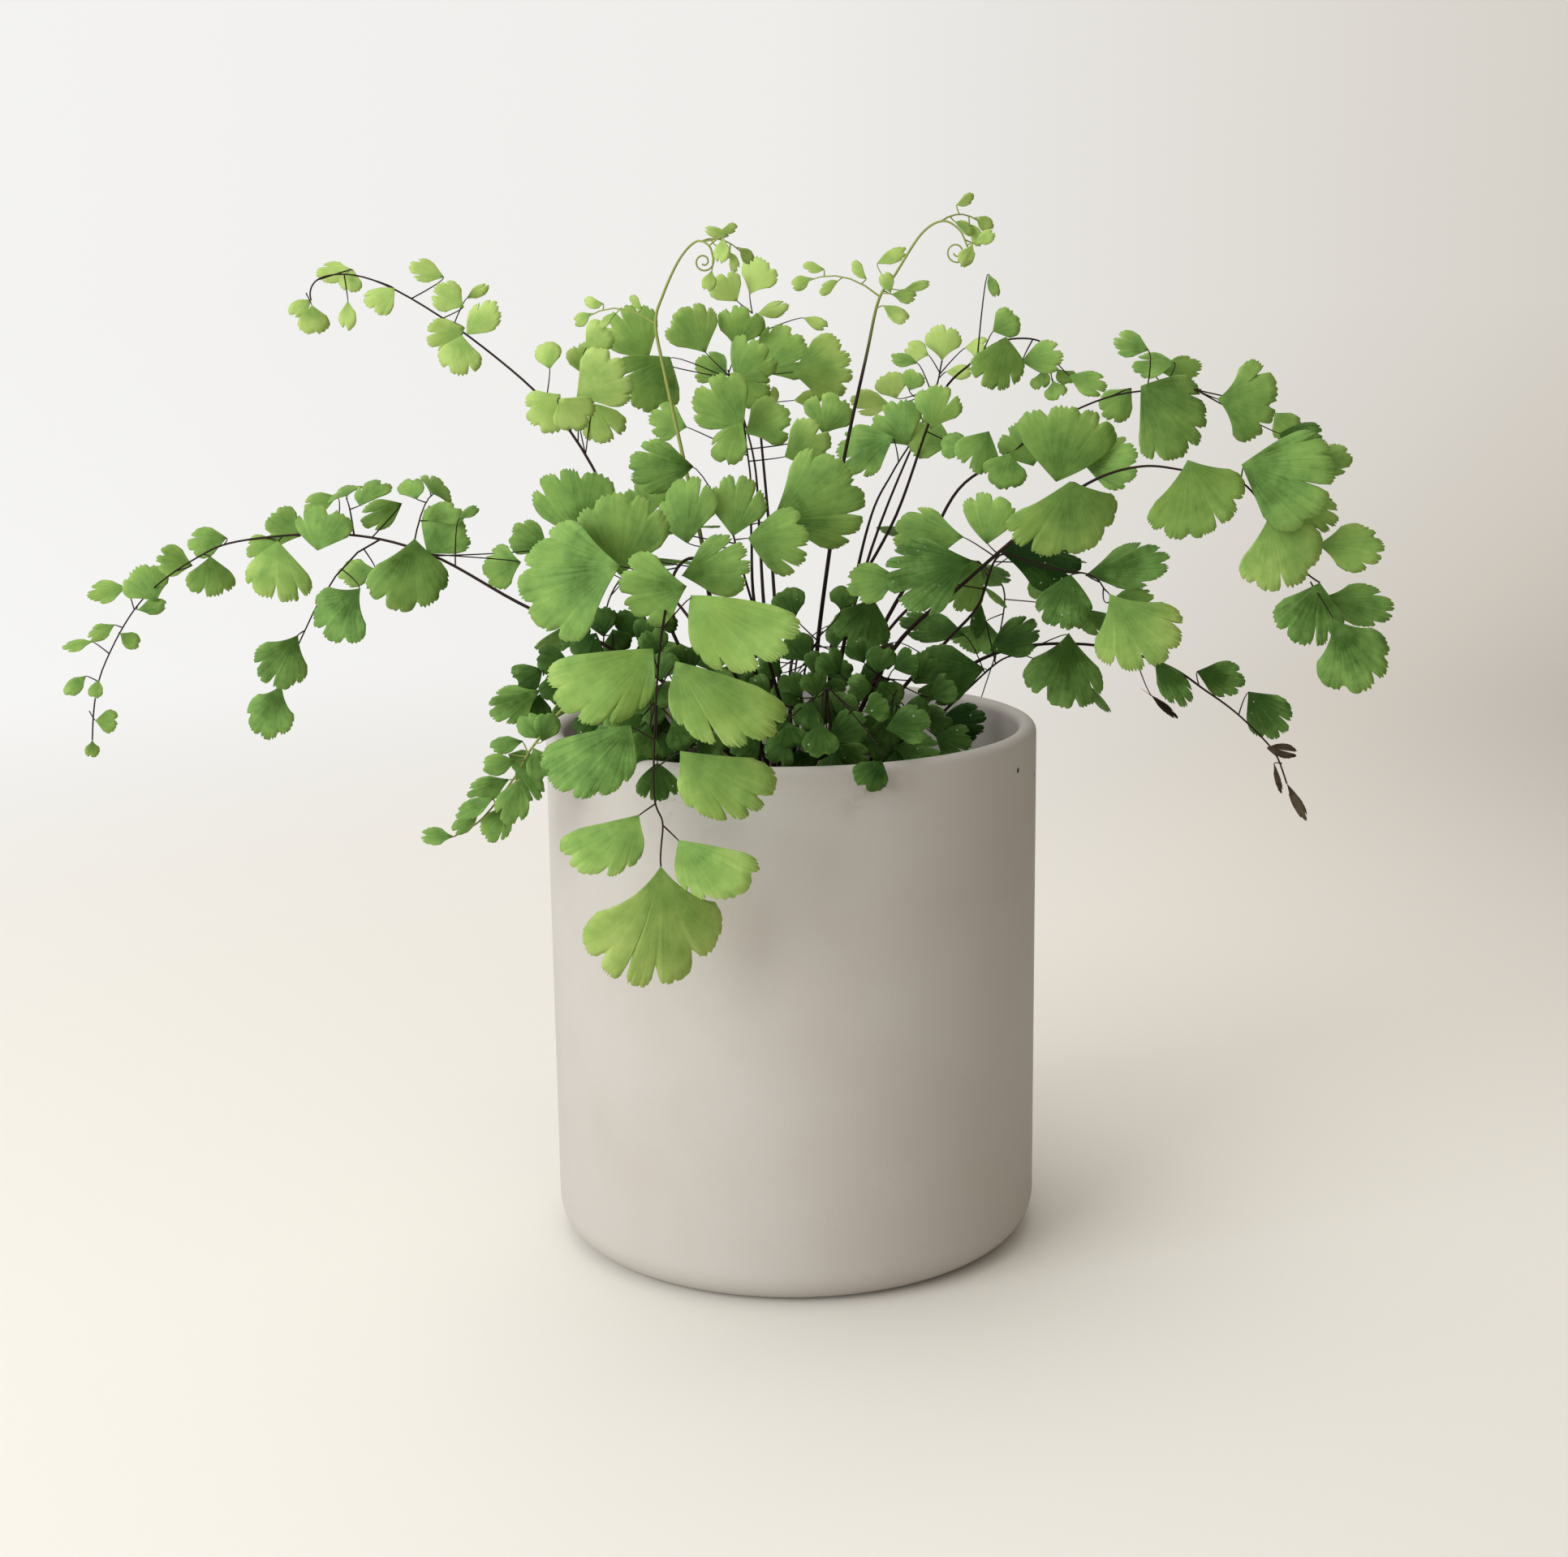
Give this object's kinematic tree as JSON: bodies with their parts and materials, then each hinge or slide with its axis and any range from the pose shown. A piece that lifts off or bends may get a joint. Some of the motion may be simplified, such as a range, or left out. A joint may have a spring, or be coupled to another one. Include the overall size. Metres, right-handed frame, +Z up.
{
  "type": "potted maidenhair fern",
  "caption": "Maidenhair fern with arching dark stems and fan-shaped leaflets, growing from soil in a plain round pot that stands on its flat foot.",
  "frame": {"origin": "centre of the pot's flat foot, on the surface that the pot stands on", "axes": "+Z is up along the pot's axis, -Y is the side that the plant shows to someone in front of it, and +X is that person's right"},
  "size_m": [0.3354, 0.1917, 0.2548],
  "materials": {
    "pot": "matte, slightly grainy, unglazed off-white",
    "soil": "rough, dark and loose",
    "leaf": "soft, thin and slightly translucent, from dark green to pale yellow green",
    "stem": "wiry, smooth and glossy, near black"
  },
  "bodies": {
    "root": {"pot": "pot", "soil": "soil", "frond_left_high": "leaf", "frond_left_long": "leaf", "frond_front_hanging": "leaf", "frond_centre_fan": "leaf", "frond_crozier_left": "leaf", "frond_crozier_tall": "leaf", "frond_back_top": "leaf", "frond_centre_upright": "leaf", "frond_right_arching": "leaf", "frond_right_short": "leaf", "frond_right_high": "leaf", "frond_right_long": "leaf", "frond_right_mid": "leaf", "frond_right_low": "leaf", "frond_right_drooping": "leaf", "frond_left_low": "leaf", "frond_left_dark": "leaf", "frond_crown_front": "leaf", "frond_crown_right": "leaf", "frond_crown_left": "leaf", "frond_crown_middle": "leaf", "frond_back_pale": "leaf", "frond_back_right": "leaf", "frond_behind_left": "leaf", "frond_behind_right": "leaf", "frond_behind_hanging": "leaf"}
  },
  "joints": []
}
